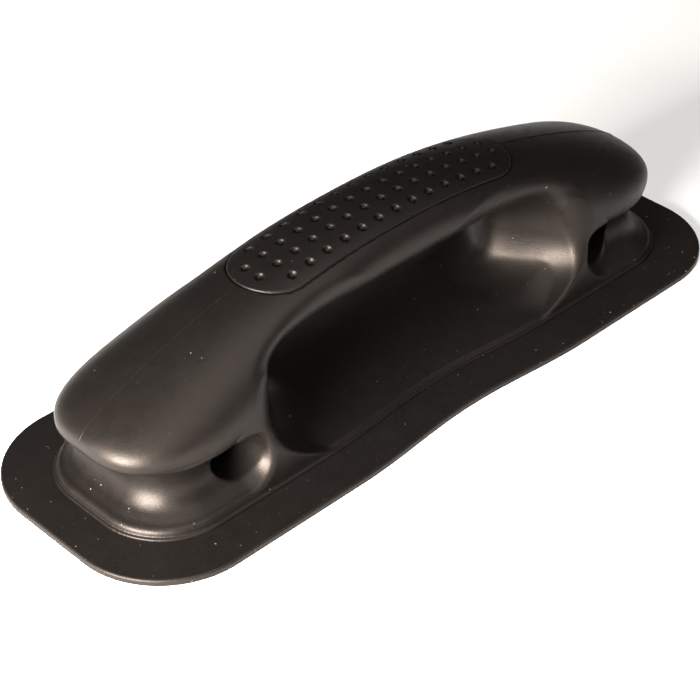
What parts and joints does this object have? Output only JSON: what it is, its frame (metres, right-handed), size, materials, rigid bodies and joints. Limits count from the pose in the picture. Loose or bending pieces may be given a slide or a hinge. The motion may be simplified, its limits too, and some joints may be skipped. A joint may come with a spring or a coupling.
{
  "type": "bonded grab handle",
  "caption": "Long low moulded grab handle on a wide flexible bonding flange, with an arched dimpled grip and rope eyes under its overhanging ends.",
  "frame": {"origin": "centre of the flat face that is bonded to the hull", "axes": "+X along the handle, +Z out of the hull through the grip, +Y across"},
  "size_m": [0.3, 0.105, 0.0682],
  "materials": {
    "moulding": "matte fine-grained flexible moulding",
    "grip_pad": "matte soft moulding with dimples",
    "flange": "matte flexible sheet",
    "fabric": "woven coated backing cloth",
    "steel": "zinc-plated steel"
  },
  "bodies": {
    "root": {"handle_body": "moulding", "grip_pad": "grip_pad", "bonding_flange": "flange", "base_fabric": "fabric", "core_rod": "steel", "anchor_plate_left": "steel", "anchor_plate_right": "steel"}
  },
  "joints": []
}
